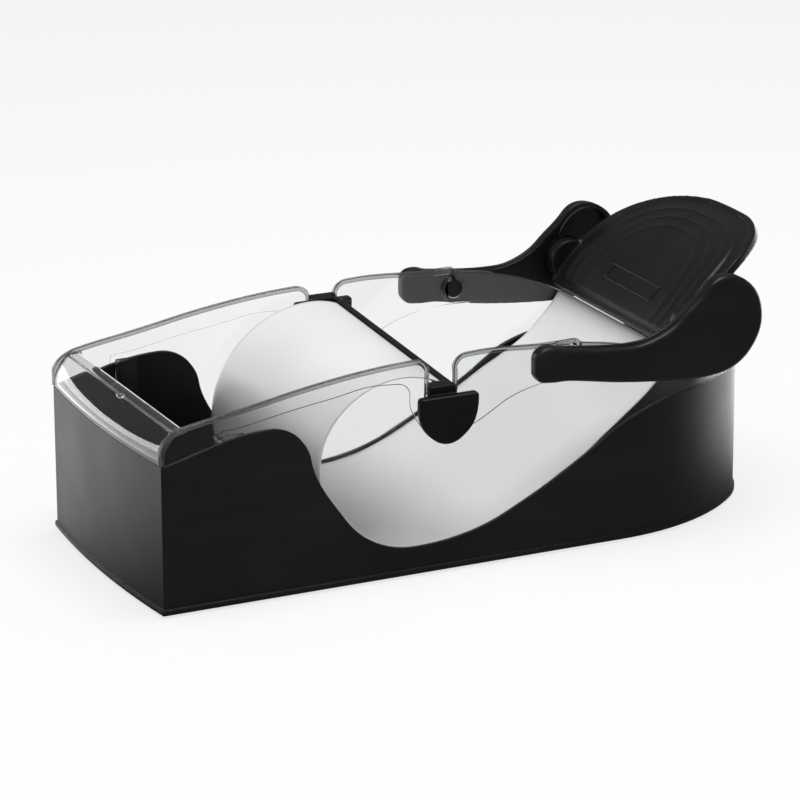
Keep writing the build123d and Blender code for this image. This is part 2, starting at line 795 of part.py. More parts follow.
# Pivot pins, pressed into the arms and snapped into the eyes of the clear walls
with BuildPart() as pivot_pin_right:
    with BuildSketch(Plane.XZ.offset(arm_inner + pin_seat - pin_length)):
        with Locations((at_x(pivot_x), pivot_z)):
            Circle(pin_radius)
    extrude(amount=pin_length)
pivot_pin_right.part.label = "pivot_pin_right"
export_step(pivot_pin_right.part, "parts/pivot_pin_right.step")
pivot_pin_left = mirrored(pivot_pin_right.part)
pivot_pin_left.label = "pivot_pin_left"
export_step(pivot_pin_left, "parts/pivot_pin_left.step")

# Foil sling at rest: over the loop, down behind the tray lip, through the trough, up the slope and up to the clamp
foil_rise = 1.3
loop_end = rod_left - soft_gap - foil_sheet / 4
loop_start_angle = degrees(acos((loop_end - loop_x) / loop_radius))
loop_side = (loop_x - loop_radius, loop_z)
foil_low = (trough_x, trough_height - bed_drop + foil_rise)
sling = [(x + 1.3 * foil_rise, z + foil_rise) for x, z in basin]
slope = [(x, z + foil_rise) for x, z in bed_climb[:-1]]
slope_heading = heading_at(*climb[-3:])
foil_end = clamp_point(-soft_gap, slot_depth)
tail = shares(slope[-1], foil_end, [(0.24, 0.20), (0.45, 0.362), (0.65, 0.54), (0.83, 0.755)])
with BuildPart() as rolling_foil:
    with BuildSketch(Plane.XZ):
        with BuildLine():
            CenterArc(placed([(loop_x, loop_z)])[0], loop_radius, loop_start_angle, 180 - loop_start_angle)
            smooth_line(placed([loop_side] + sling + [foil_low]), (0, -1), (1, 0))
            smooth_line(placed([foil_low] + slope), (1, 0), slope_heading)
            smooth_line(placed([slope[-1]] + tail + [foil_end]), slope_heading, clamp_along)
        trace(line_width=foil_sheet)
    extrude(amount=foil_width / 2, both=True)
rolling_foil.part.label = "rolling_foil"
export_step(rolling_foil.part, "parts/rolling_foil.step")
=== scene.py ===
# %% [markdown]
# # A table-top sushi maker
# The object is a black moulded base with a trough, a clear hood on it, a white foil sling and a black lever.
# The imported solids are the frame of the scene: they give every place and every motion, and this lesson
# dresses them. The feet and the foil's hidden beads keep their mesh and get a finish. Most of the others are
# replaced by copies with moulded edges, and the foil and the front bar are made anew.

# %% Load the frame
import json
import math

import bmesh
import bpy
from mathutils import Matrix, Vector
from mathutils.bvhtree import BVHTree

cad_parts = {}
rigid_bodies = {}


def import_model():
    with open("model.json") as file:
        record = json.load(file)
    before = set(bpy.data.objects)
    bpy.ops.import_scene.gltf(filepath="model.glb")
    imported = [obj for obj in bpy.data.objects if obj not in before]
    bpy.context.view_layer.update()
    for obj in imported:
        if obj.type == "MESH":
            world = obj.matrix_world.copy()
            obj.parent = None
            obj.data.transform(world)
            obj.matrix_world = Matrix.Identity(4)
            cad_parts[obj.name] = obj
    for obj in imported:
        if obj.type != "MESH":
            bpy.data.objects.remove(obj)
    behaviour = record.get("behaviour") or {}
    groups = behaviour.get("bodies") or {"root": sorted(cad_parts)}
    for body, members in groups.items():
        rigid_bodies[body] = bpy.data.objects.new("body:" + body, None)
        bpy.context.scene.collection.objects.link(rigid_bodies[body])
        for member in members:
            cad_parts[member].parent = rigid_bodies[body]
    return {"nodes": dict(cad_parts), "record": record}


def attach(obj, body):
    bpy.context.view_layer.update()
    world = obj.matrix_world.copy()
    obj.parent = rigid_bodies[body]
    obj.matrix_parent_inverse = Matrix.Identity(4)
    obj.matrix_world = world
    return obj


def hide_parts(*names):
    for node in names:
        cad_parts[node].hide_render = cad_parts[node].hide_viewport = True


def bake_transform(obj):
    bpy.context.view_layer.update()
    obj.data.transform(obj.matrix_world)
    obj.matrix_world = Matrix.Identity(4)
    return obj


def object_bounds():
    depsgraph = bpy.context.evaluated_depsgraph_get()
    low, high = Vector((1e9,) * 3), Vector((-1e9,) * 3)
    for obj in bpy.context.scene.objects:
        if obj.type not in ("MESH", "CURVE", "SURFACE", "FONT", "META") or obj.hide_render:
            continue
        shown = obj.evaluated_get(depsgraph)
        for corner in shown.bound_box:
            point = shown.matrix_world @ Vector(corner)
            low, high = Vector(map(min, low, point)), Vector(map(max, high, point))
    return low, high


for leftover in list(bpy.data.objects):
    bpy.data.objects.remove(leftover)
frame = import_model()
nodes = frame["nodes"]
cad_low, cad_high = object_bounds()

# %% [markdown]
# ## Places
# A maker measures this object in millimetres: behind the front corners, left of the middle, above the table.
# Places are written that way here, because they can be compared with the object at once, and one function
# turns them into the scene's metres.

# %% Places on the object
front_reach = 3.9  # how far the front wall's bulge and its plinth stand in front of its corners
pivot_x, pivot_z = 175.0, 77.5  # the axis of the lever


def at(x, y, z):
    """A place on the object, in the scene's metres."""
    return Vector((cad_low.x + (front_reach + x) / 1000, y / 1000, z / 1000))


print("pivot of the lever:", [round(c, 4) for c in at(pivot_x, 0, pivot_z)])

# %% [markdown]
# ## Camera
# A long lens from a little above the table, on the front right side. Its angles and distance come from a
# camera that was fitted to the straight edges and parallel faces of the object, so the shift stays small.


# %% Camera
def in_scene(name, data):
    """A new object with this camera, lamp or mesh, linked to the scene."""
    made = bpy.data.objects.new(name, data)
    bpy.context.scene.collection.objects.link(made)
    return made


view_turn, view_rise, view_distance = math.radians(-25.93), math.radians(18.03), 1.63854
towards_camera = Vector(
    (
        math.sin(view_turn) * math.cos(view_rise),
        -math.cos(view_turn) * math.cos(view_rise),
        math.sin(view_rise),
    )
)
looked_at = at(140, 0, 50)
camera = in_scene("camera", bpy.data.cameras.new("camera"))
camera.location = looked_at + towards_camera * view_distance
camera.rotation_mode = "QUATERNION"
camera.rotation_quaternion = (-towards_camera).to_track_quat("-Z", "Y")
camera.data.lens, camera.data.sensor_width = 185.45, 36
camera.data.shift_x, camera.data.shift_y = -0.0431, 0.0004
bpy.context.scene.camera = camera
bpy.context.scene.view_settings.view_transform = "Standard"
print("camera at", [round(c, 3) for c in camera.location])

# %% [markdown]
# ## Node maths as Python
# Both materials and Geometry Nodes are trees of nodes. A Wire is one output socket. It overloads the
# operators, so that `1 - mask * 0.5` adds its Math nodes by itself, and Tree.node makes any other node in one
# call: its settings, then its sockets by place or by name, with an underscore for a space.


# %% Wires
class Wire:
    """One output socket that can be used in Python expressions."""

    def __init__(self, tree, socket):
        self.tree = tree
        self.socket = socket

    def maths(self, operation, other, flipped=False):
        pair = (other, self) if flipped else (self, other)
        return self.tree.node("ShaderNodeMath", {"operation": operation}, *pair)

    def __add__(self, other):
        return self.maths("ADD", other)

    def __sub__(self, other):
        return self.maths("SUBTRACT", other)

    def __rsub__(self, other):
        return self.maths("SUBTRACT", other, flipped=True)

    def __mul__(self, other):
        return self.maths("MULTIPLY", other)

    __radd__ = __add__
    __rmul__ = __mul__

    def ramp(self, low, high, bottom=0.0, top=1.0):
        """Goes smoothly from bottom to top while the value goes from low to high."""
        settings = {"interpolation_type": "SMOOTHSTEP"}
        return self.tree.node("ShaderNodeMapRange", settings, self, low, high, bottom, top)

    def beside(self, name):
        """Another output of the same node."""
        return Wire(self.tree, self.socket.node.outputs[name])


class Tree:
    """A node tree, in which one method makes any node."""

    def __init__(self, tree):
        self.tree = tree

    def node(self, kind, settings=None, *values, out=0, sockets=None, **named):
        made = self.tree.nodes.new(kind)
        for key, value in (settings or {}).items():
            setattr(made, key, value)
        for key, value in [*enumerate(values), *(sockets or {}).items(), *named.items()]:
            socket = made.inputs[key.replace("_", " ") if isinstance(key, str) else key]
            if isinstance(value, Wire):
                self.tree.links.new(value.socket, socket)
            else:
                socket.default_value = value
        return Wire(self, made.outputs[out])


print("operators ready:", len([name for name in dir(Wire) if name.startswith("__r")]))

# %% [markdown]
# ## Finishes
# Each finish is one Principled shader whose colour, roughness and bump vary a little over the surface, at the
# scale of the real material. What is the same everywhere is set on the shader's own socket.


# %% A start for every finish
def finish_tree(name, roughness, specular, colour=None, **constants):
    """A new material with a Principled shader: returns the material, its tree and the shader node."""
    material = bpy.data.materials.new(name)
    material.use_nodes = True
    shader = material.node_tree.nodes["Principled BSDF"]
    shader.inputs["Roughness"].default_value = roughness
    shader.inputs["Specular IOR Level"].default_value = specular
    if colour:
        shader.inputs["Base Color"].default_value = (*colour, 1)
    for key, value in constants.items():
        shader.inputs[key.replace("_", " ")].default_value = value
    return material, Tree(material.node_tree), shader


def feed(tree, shader, **wires):
    """Links wires to the shader's sockets."""
    for key, wire in wires.items():
        tree.tree.links.new(wire.socket, shader.inputs[key.replace("_", " ")])


def mixed(tree, share, first, second):
    """Goes from one shader to another as share goes from 0 to 1."""
    return tree.node("ShaderNodeMixShader", None, share, first, second)


def show(tree, wire):
    """Makes this shader the one that the surface shows."""
    tree.tree.links.new(wire.socket, tree.tree.nodes["Material Output"].inputs["Surface"])


print("finish starts ready")


# %% Noise, bump and colours
def object_noise(tree, scale, detail=2.0, stretch=(1, 1, 1)):
    """Noise in the object's own coordinates, with this many blotches per metre."""
    place = tree.node("ShaderNodeTexCoord", out="Object")
    if stretch != (1, 1, 1):
        place = tree.node("ShaderNodeMapping", None, place, Scale=stretch)
    return tree.node("ShaderNodeTexNoise", None, place, Scale=scale, Detail=detail)


def bump(tree, height, distance):
    """Turns a height into a bent normal. distance is the height's size in metres."""
    return tree.node("ShaderNodeBump", None, Distance=distance, Height=height, out="Normal")


def mix_colour(tree, share, first, second):
    """Goes from one colour to another as share goes from 0 to 1."""
    colours = {6: (*first, 1), 7: (*second, 1)}
    return tree.node("ShaderNodeMix", {"data_type": "RGBA"}, share, out=2, sockets=colours)


print("finish helpers ready")

# %% [markdown]
# ### Moulded black plastic
# The base is injection moulded in a tool with a fine eroded grain. Up close it is a field of tiny pits, and
# from a distance a soft sheen with faint flow marks and wiping marks. Noise at three scales gives all of
# that.


# %% Moulded black
def moulded_black(name, colour, roughness, specular, grain=0.00003, grain_scale=2600.0):
    """Satin black plastic: fine pits, slow variation of the sheen, a breath of dust on top."""
    material, tree, shader = finish_tree(name, roughness, specular)
    pits = object_noise(tree, grain_scale, detail=1.5)
    cloud = object_noise(tree, 22.0, detail=3.0)
    wiping = object_noise(tree, 60.0, detail=4.0, stretch=(0.25, 1.0, 1.6))
    tone = cloud.ramp(0.3, 0.75) * 0.6 + wiping.ramp(0.45, 0.7) * 0.4
    paler = tuple(c * 1.5 + 0.0015 for c in colour)
    feed(
        tree,
        shader,
        Base_Color=mix_colour(tree, tone, colour, paler),
        Roughness=cloud.ramp(0.2, 0.8, roughness - 0.05, roughness + 0.05) + pits * 0.04 - wiping * 0.05,
        Normal=bump(tree, pits, grain),
    )
    return material


base_black = moulded_black("base_satin", (0.0052, 0.0054, 0.0060), 0.42, 0.32)
bed_black = moulded_black("bed_satin", (0.0040, 0.0041, 0.0046), 0.46, 0.16)
lever_black = moulded_black("lever_satin", (0.0070, 0.0073, 0.0082), 0.36, 0.24, grain=0.00002)
pad_black = moulded_black(
    "pad_soft", (0.0078, 0.0080, 0.0088), 0.50, 0.20, grain=0.00005, grain_scale=1500.0
)
satin_black = moulded_black("crossbar_satin", (0.0036, 0.0038, 0.0044), 0.32, 0.22, grain=0.00001)
rubber_black = moulded_black(
    "foot_rubber", (0.010, 0.010, 0.010), 0.75, 0.15, grain=0.00006, grain_scale=900.0
)
print("black finishes: 6")

# %% [markdown]
# ### Clear acrylic
# The hood is clear moulded acrylic. It bends light at its edges, which is why they show as fine dark and
# bright lines, so it is real glass with two faces. Light would be blocked by such glass in a plain path
# tracer, so its shadow rays pass through a pale tint instead.

# %% Clear acrylic
clear_acrylic, tree, shader = finish_tree(
    "clear_hood", 0.03, 0.3, (0.92, 0.93, 0.927), Transmission_Weight=1.0, IOR=1.49
)
haze = object_noise(tree, 35.0, detail=3.0)
scuffs = object_noise(tree, 240.0, detail=2.0, stretch=(0.15, 1.0, 1.0))
feed(
    tree,
    shader,
    Roughness=haze.ramp(0.35, 0.75, 0.015, 0.05) + scuffs.ramp(0.62, 0.75, 0.0, 0.06),
    Normal=bump(tree, object_noise(tree, 45.0, detail=1.0), 0.00006),
)
shadow_ray = tree.node("ShaderNodeLightPath", out="Is Shadow Ray")
pale_tint = tree.node("ShaderNodeBsdfTransparent", None, (0.93, 0.94, 0.94, 1))
show(tree, mixed(tree, shadow_ray, Wire(tree, shader.outputs[0]), pale_tint))
print("clear finish:", clear_acrylic.name)

# %% [markdown]
# ### Edges of the clear acrylic
# Seen along an edge, light has come a long way through the plastic, and much of it has been led off sideways.
# So a rounded edge shows as a pale line with a dark grey line on each side of it. That dark line is painted
# shade:
# a dark grey shader whose share grows where the surface turns away from the eye, as Layer Weight gives.

# %% Clear edges
clear_edge, tree, shader = finish_tree("clear_edge", 0.08, 0.5)
facing = tree.node("ShaderNodeLayerWeight", None, 0.5, out="Facing")
streaks = object_noise(tree, 90.0, detail=3.0, stretch=(0.2, 1.0, 1.0)).ramp(0.35, 0.7)
# Painted shade: these dark greys stand in for the light led off inside an edge, and the streaks only vary
# their tone.
feed(tree, shader, Base_Color=mix_colour(tree, streaks, (0.06, 0.062, 0.065), (0.16, 0.165, 0.17)))
see_through = tree.node("ShaderNodeBsdfTransparent", None, (0.90, 0.91, 0.91, 1))
painted_edge_shade = facing.ramp(0.25, 0.85, 0.28, 0.92)
show(tree, mixed(tree, painted_edge_shade, see_through, Wire(tree, shader.outputs[0])))
print("clear edge finish:", clear_edge.name)

# %% [markdown]
# ### White foil
# The sling is a white, slightly warm sheet with a satin face: smooth, a little uneven where it has been
# rolled, and just rough enough that highlights spread.

# %% White foil
white_foil, tree, shader = finish_tree("sling_white", 0.42, 0.4)
calender = object_noise(tree, 420.0, detail=2.0, stretch=(1.0, 0.06, 1.0))
blotch = object_noise(tree, 18.0, detail=2.0)
feed(
    tree,
    shader,
    Base_Color=mix_colour(tree, blotch.ramp(0.3, 0.7), (0.815, 0.812, 0.802), (0.845, 0.845, 0.84)),
    Roughness=blotch.ramp(0.3, 0.7, 0.38, 0.46) + calender * 0.05,
    Normal=bump(tree, calender, 0.00001),
)
print("white finish:", white_foil.name)

# %% [markdown]
# ### Every solid gets its finish
# The record of the part names one material slot for each solid. A table from slots to finishes dresses them
# all, so that a foot or a hidden bead that no later step touches is dressed too.

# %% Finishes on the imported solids
finish_of = {
    "black_plastic": base_black,
    "bed_black": bed_black,
    "lever_black": lever_black,
    "pad_black": pad_black,
    "satin_black": satin_black,
    "rubber_black": rubber_black,
    "clear_plastic": clear_acrylic,
    "white_foil": white_foil,
}
slot_of = {part["node"]: part["material_slot"] for part in frame["record"]["subparts"]}
for node, slot in slot_of.items():
    solid = nodes[node]
    solid.data.materials.clear()
    solid.data.materials.append(finish_of[slot])
print("dressed", len(slot_of), "solids")

# %% [markdown]
# ## Moulded edges
# A moulded part has no razor edge: the tool leaves a small radius everywhere, and its thin highlight is what
# makes plastic look real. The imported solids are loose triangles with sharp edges, so each one is copied, its
# triangles are joined, its flat faces made whole again, and its edges rounded. The copy then stands for the
# solid.


# %% Plain meshes and copies of the solids
same_point = 2e-6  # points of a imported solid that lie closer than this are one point
same_face = math.radians(0.4)  # faces that turn less than this are one face


def plain_mesh(piece, name):
    """The evaluated shape of an object as a plain mesh object, in place of the object itself."""
    depsgraph = bpy.context.evaluated_depsgraph_get()
    mesh = bpy.data.meshes.new_from_object(piece.evaluated_get(depsgraph))
    bpy.data.objects.remove(piece)
    return in_scene(name, mesh)


def write_back(shape, mesh):
    """Ends the work on an open shape by writing it into its mesh."""
    shape.to_mesh(mesh)
    shape.free()


def whole_copy(node, name):
    """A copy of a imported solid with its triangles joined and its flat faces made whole."""
    mesh = nodes[node].data.copy()
    shape = bmesh.new()
    shape.from_mesh(mesh)
    bmesh.ops.remove_doubles(shape, verts=shape.verts, dist=same_point)
    bmesh.ops.dissolve_limit(shape, angle_limit=same_face, verts=shape.verts, edges=shape.edges)
    write_back(shape, mesh)
    return in_scene(name, mesh)


def stands_for(piece, node):
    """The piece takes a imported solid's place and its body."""
    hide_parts(node)
    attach(piece, body_of[node])


def tree_of(node):
    """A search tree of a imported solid's faces."""
    shape = bmesh.new()
    shape.from_mesh(nodes[node].data)
    found = BVHTree.FromBMesh(shape)
    shape.free()
    return found


bodies = frame["record"]["behaviour"]["bodies"]
body_of = {node: body for body, members in bodies.items() for node in members}
print("solids on bodies:", len(body_of))

# %% [markdown]
# ### Handles that are round all over
# The lever's arms and its paddle are thick and soft to the hand: their edges melt into their faces. A bevel
# of that size would cross itself, so the copy is built anew from voxels and smoothed. A few swells then
# round off the blunt noses of the arms.


# %% Handles
def soft_moulded(node, voxel, passes, inlay=None, swells=()):
    """Puts a copy with all its edges melted round, as on a thick handle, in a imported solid's place."""
    name = node + "_moulded"
    piece = whole_copy(node, name + "_start")
    if inlay:
        shape = bmesh.new()
        shape.from_mesh(piece.data)
        shape.from_mesh(nodes[inlay].data)
        bmesh.ops.remove_doubles(shape, verts=shape.verts, dist=same_point)
        write_back(shape, piece.data)
    melt = piece.modifiers.new("melt", "REMESH")
    melt.mode, melt.voxel_size = "VOXEL", voxel / 1000
    calm = piece.modifiers.new("calm", "SMOOTH")
    calm.factor, calm.iterations = 0.5, passes
    piece = plain_mesh(piece, name)
    for x, z, push_x, push_z, reach in swells:
        middle = at(x, 0, z)
        for v in piece.data.vertices:
            away = math.hypot(v.co.x - middle.x, v.co.z - middle.z) * 1000 / reach
            share = math.exp(-(away**2))
            v.co.x += push_x * share / 1000
            v.co.z += push_z * share / 1000
    piece.data.shade_smooth()
    stands_for(piece, node)
    if inlay:
        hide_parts(inlay)
    return piece


# Where the blunt nose of an arm swells: its place behind and above, its push both ways, and its reach
nose_swells = [(156.2, 85.8, -0.35, 0.6, 2.6), (156.0, 73.6, -0.6, -1.1, 2.8)]
for handle, voxel, passes, inlay, swells in (
    ("arm_right", 0.5, 14, None, nose_swells),
    ("arm_left", 0.5, 14, None, nose_swells),
    ("paddle", 0.48, 8, "thumb_pad", ()),
):
    made = soft_moulded(handle, voxel, passes, inlay, swells)
    print(made.name, len(made.data.polygons), "faces")

# %% [markdown]
# ### Edges with a small radius
# The other pieces keep their faces, and only their edges turn a little. A bevel with a few steps does that,
# on the edges that really turn. What sits flat on the casing keeps its edge there, so that no gap opens.

# %% Edges to round
casing_faces = tree_of("base_casing")
seat_reach, seat_sink = 0.00025, 0.0004  # how near the casing a piece is seated, and how far it sinks in
round_above, round_steps = math.radians(30), 3


def weigh_edges(mesh, seated, sharp):
    """Marks the edges to round. Where a piece is seated on the casing, it stays sharp and sinks in a bit."""
    shape = bmesh.new()
    shape.from_mesh(mesh)
    weight = shape.edges.layers.float.new("bevel_weight_edge")
    resting = {v for v in shape.verts if seated and casing_faces.find_nearest(v.co, seat_reach)[0]}
    for edge in shape.edges:
        turned = len(edge.link_faces) == 2 and edge.calc_face_angle() > round_above
        turned = turned and not (sharp and any(sharp(v) for v in edge.verts))
        edge[weight] = float(turned and not resting.issuperset(edge.verts))
    for v in resting:
        v.co.z -= seat_sink
    write_back(shape, mesh)


def edge_rounded(node, radius, seated=False, prepare=None, sharp=None):
    """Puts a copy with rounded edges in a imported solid's place."""
    name = node + "_moulded"
    piece = whole_copy(node, name + "_start")
    if prepare:
        piece = prepare(piece)
    weigh_edges(piece.data, seated, sharp)
    piece.data.shade_smooth()
    rounding = piece.modifiers.new("rounding", "BEVEL")
    rounding.width, rounding.segments = radius / 1000, round_steps
    rounding.limit_method = "WEIGHT"
    rounding.use_clamp_overlap = False
    calm = piece.modifiers.new("calm", "WEIGHTED_NORMAL")
    calm.mode, calm.weight = "FACE_AREA", 100
    piece = plain_mesh(piece, name)
    stands_for(piece, node)
    return piece


for node, radius in (
    ("base_casing", 0.5),
    ("inner_bed", 0.3),
    ("end_cap_right", 0.5),
    ("end_cap_left", 0.5),
    ("crossbar_rod", 0.4),
    ("pivot_pin_right", 0.5),
    ("pivot_pin_left", 0.5),
    ("foil_clamp", 0.3),
):
    made = edge_rounded(node, radius)
    if node == "foil_clamp":
        made.data.materials[0] = bed_black
    print(made.name, len(made.data.polygons), "faces")

# %% [markdown]
# ### True normals of the curved walls
# A clear wall shows each flat step of its curve as a kink in what is seen through it. The plan of the wall is
# known: straight sides and three arcs. So the true direction is written at each corner of its upright faces.

# %% Plan of the hood
right_and_left = ((-1, "right"), (1, "left"))
side_centre, end_centre, arc_turn = (195.0, 35.385), (228.0, 0.0), math.radians(-47.0)


def behind_corners(place):
    """How many millimetres a place lies behind the front corners."""
    return (place.x - cad_low.x) * 1000 - front_reach


def plan_direction(place):
    """The outward direction of the hood's plan at a place, for either side."""
    x, y, side = behind_corners(place), -abs(place.y) * 1000, -1 if place.y < 0 else 1
    if x <= side_centre[0]:
        return Vector((0, side, 0))
    out = Vector((x - side_centre[0], y - side_centre[1]))
    if math.atan2(out.y, out.x) > arc_turn:
        out = Vector((x - end_centre[0], y))
    out.normalize()
    return Vector((out.x, -out.y * side, 0))


print("plan direction at the back:", [round(c, 2) for c in plan_direction(at(250, -40, 80))])

# %% [markdown]
# ### A tab and a step that hardly show
# Two details of the walls would draw lines in the clear plastic. The locating tab needs to start only just
# above the casing's rim, so its top is cut off there. The step on the inside, below which the wall is thicker,
# runs out smoothly towards the back.

# %% Tab and step of a clear wall
tab_reach = ((24, 53.4, 67.95), (36, 50.0, 72.0))  # corners of the box that takes off the top of the tab
step_face, wall_face = 53.4, 54.2  # the inner faces of the thick lower part and of the thin upper part
fade_from, fade_cuts = 140, range(140, 188, 4)  # where the step begins to run out, and the cuts that bend it


def smooth(share):
    """A share between 0 and 1 that starts and ends softly."""
    share = min(1.0, max(0.0, share))
    return share**2 * (3 - 2 * share)


def cut_box(piece, corner, opposite):
    """Cuts the box between two corners off a piece."""
    mesh = bpy.data.meshes.new("cutter")
    shape = bmesh.new()
    bmesh.ops.create_cube(shape, size=1.0)
    for v in shape.verts:
        v.co = Vector([(a + b) / 2 + abs(a - b) * c for a, b, c in zip(corner, opposite, v.co)])
    write_back(shape, mesh)
    cutter = in_scene("cutter", mesh)
    cut = piece.modifiers.new("cut", "BOOLEAN")
    cut.object, cut.operation, cut.solver = cutter, "DIFFERENCE", "EXACT"
    piece = plain_mesh(piece, piece.name + "_cut")
    bpy.data.objects.remove(cutter)
    return piece


def made_plain(piece):
    """A clear wall whose tab ends just above the rim, and whose inner step runs out at the back."""
    side = math.copysign(1, sum(v.co.y for v in piece.data.vertices))
    piece = cut_box(piece, *[at(x, side * y, z) for x, y, z in tab_reach])
    shape = bmesh.new()
    shape.from_mesh(piece.data)
    for x in fade_cuts:
        everything = shape.verts[:] + shape.edges[:] + shape.faces[:]
        bmesh.ops.bisect_plane(shape, geom=everything, plane_co=at(x, 0, 0), plane_no=(1, 0, 0))
    on_step = [v for v in shape.verts if abs(abs(v.co.y) * 1000 - step_face) < 0.02]
    fade_to = max(behind_corners(v.co) for v in on_step) - 0.5
    for v in on_step:
        share = smooth((behind_corners(v.co) - fade_from) / (fade_to - fade_from))
        v.co.y = side * (step_face + (wall_face - step_face) * share) / 1000
    bmesh.ops.remove_doubles(shape, verts=shape.verts, dist=5e-6)
    write_back(shape, piece.data)
    return piece


def on_running_step(v):
    """Whether a point lies on the inner step, also where it runs out: no edge is rounded there."""
    return step_face - 0.1 < abs(v.co.y) * 1000 < wall_face - 0.1


print("height of the inner step in mm:", round(wall_face - step_face, 2))

# %% Clear walls
upright = 0.985  # how far a face has to look along the plan's direction to count as the wall's own
for side, which in right_and_left:
    made = edge_rounded("clear_wall_" + which, 0.5, seated=True, prepare=made_plain, sharp=on_running_step)
    normals = [corner.vector.copy() for corner in made.data.corner_normals]
    for face in made.data.polygons:
        along = face.normal.dot(plan_direction(face.center))
        if abs(along) > upright:
            for corner in face.loop_indices:
                spot = made.data.vertices[made.data.loops[corner].vertex_index].co
                normals[corner] = plan_direction(spot) * math.copysign(1, along)
    made.data.normals_split_custom_set(normals)
    print(made.name, len(made.data.polygons), "faces")

# %% [markdown]
# ## Clear bar across the front
# A bent strip of the same clear acrylic closes the hood at the front. Its lower half swells forward in a long
# shallow crescent, above which it runs straight up to a knee. A grid of points follows that rule exactly: the
# side view gives its rows, and how far each one swells gives its columns.

# %% Points of the front bar
bar_half, bar_sheet, bar_columns = 54.1, 2.0, 36
bar_swell, swell_half = 3.2, 56  # how far the crescent stands forward, and half its width
# Each row: distance behind the front corners, height, and its share of the swell
bar_rows = [
    (0.3, 59.5, 1.0),
    (-0.05, 61.2, 1.0),
    (0.0, 63.0, 0.97),
    (0.35, 65.0, 0.84),
    (1.1, 66.9, 0.6),
    (2.15, 68.6, 0.33),
    (3.3, 70.2, 0.12),
    (4.4, 71.6, 0.0),
    (5.3, 72.45, 0.0),
    (6.6, 72.75, 0.0),
    (10.0, 72.75, 0.0),
]


def bar_row_point(row, y):
    """A place on the bar's outer face."""
    x, z, share = row
    return at(x - bar_swell * share * (1 - (y / swell_half) ** 2), y, z)


def grid_mesh(name, rows):
    """A mesh of quads over rows of places that all have the same length."""
    wide = len(rows[0])
    faces = [
        (r * wide + c, r * wide + c + 1, (r + 1) * wide + c + 1, (r + 1) * wide + c)
        for r in range(len(rows) - 1)
        for c in range(wide - 1)
    ]
    mesh = bpy.data.meshes.new(name)
    mesh.from_pydata([tuple(place) for row in rows for place in row], [], faces)
    return mesh


spread = [bar_half * (2 * c / bar_columns - 1) for c in range(bar_columns + 1)]
bar_mesh = grid_mesh("front_bar_face", [[bar_row_point(row, y) for y in spread] for row in bar_rows])
print("bar grid:", len(bar_mesh.polygons), "faces")

# %% Front bar
bar = in_scene("front_bar_start", bar_mesh)
finer = bar.modifiers.new("finer", "SUBSURF")
finer.levels = finer.render_levels = 2
wall = bar.modifiers.new("wall", "SOLIDIFY")
wall.thickness, wall.offset, wall.use_even_offset = bar_sheet / 1000, 1, True
bar = plain_mesh(bar, "front_bar_moulded")
bar.data.shade_smooth()
rim_angle = 50  # only the rims of the sheet turn more than this
bar.data.set_sharp_from_angle(angle=math.radians(rim_angle))
bar.data.materials.append(clear_acrylic)
stands_for(bar, "front_clear_bar")
bar_low, bar_high = [[f(v.co[k] for v in bar.data.vertices) for k in range(3)] for f in (min, max)]
print("front bar in mm:", [round(1000 * (high - low), 1) for low, high in zip(bar_low, bar_high)])

# %% [markdown]
# ## Foil sling
# The foil is one sheet whose side view is a line: over the round loop, down into the trough, up the slope and
# up to the clamp. A shape that follows a path is a good case for Geometry Nodes: the path is swept by the
# foil's width. It is made as two pieces, because its front end moves with the crossbar and its back end with
# the lever.

# %% Path of the foil
loop_centre, loop_radius = (101.5, 43.3), 35.3
loop_from, loop_to, loop_steps = 58.5, 180.0, 14
loop_line = [
    (
        loop_centre[0] + loop_radius * math.cos(math.radians(angle)),
        loop_centre[1] + loop_radius * math.sin(math.radians(angle)),
    )
    for angle in [loop_from + (loop_to - loop_from) * i / loop_steps for i in range(loop_steps + 1)]
]
loop_line += [(66.2, 38.0), (66.35, 30.55)]
tail_line = [(66.35, 30.55), (67.8, 23.75), (72.0, 18.17), (76.8, 15.1), (82.2, 13.02), (88.2, 11.69)]
tail_line += [(94.2, 11.03), (105.0, 10.7), (112.0, 10.93), (119.0, 11.62), (125.9, 12.79), (132.7, 14.48)]
tail_line += [(144.0, 18.75), (155.0, 24.02), (166.2, 30.05), (177.2, 36.48), (188.0, 43.62), (197.4, 49.41)]
tail_line += [(206.3, 55.77), (214.3, 63.5), (218.3, 68.0), (221.6, 72.6)]
print("foil path:", len(loop_line), "and", len(tail_line), "points")


# %% Geometry Nodes from lines
def polyline(name, places, closed=False):
    """A mesh of edges through the places, back to the first one if it is closed."""
    mesh = bpy.data.meshes.new(name)
    edges = [(i, i + 1) for i in range(len(places) - 1)]
    if closed:
        edges.append((len(places) - 1, 0))
    mesh.from_pydata([tuple(p) for p in places], edges, [])
    return mesh


def grown(name, group, start, **inputs):
    """Runs a Geometry Nodes group on a start mesh and keeps the result as a plain mesh."""
    holder = in_scene(name + "_start", start)
    modifier = holder.modifiers.new(name, "NODES")
    modifier.node_group = group
    for item in group.interface.items_tree:
        if item.item_type == "SOCKET" and item.in_out == "INPUT" and item.name in inputs:
            modifier[item.identifier] = inputs[item.name]
    return plain_mesh(holder, name)


def new_group(name, sizes):
    """An empty Geometry Nodes group with these named sizes, its tree and a function that gives an input."""
    group = bpy.data.node_groups.new(name, "GeometryNodeTree")
    group.interface.new_socket("Geometry", in_out="INPUT", socket_type="NodeSocketGeometry")
    for size, kind in sizes.items():
        group.interface.new_socket(size, in_out="INPUT", socket_type=kind)
    group.interface.new_socket("Geometry", in_out="OUTPUT", socket_type="NodeSocketGeometry")
    tree = Tree(group)
    entry = group.nodes.new("NodeGroupInput")
    return group, tree, lambda size: Wire(tree, entry.outputs[size])


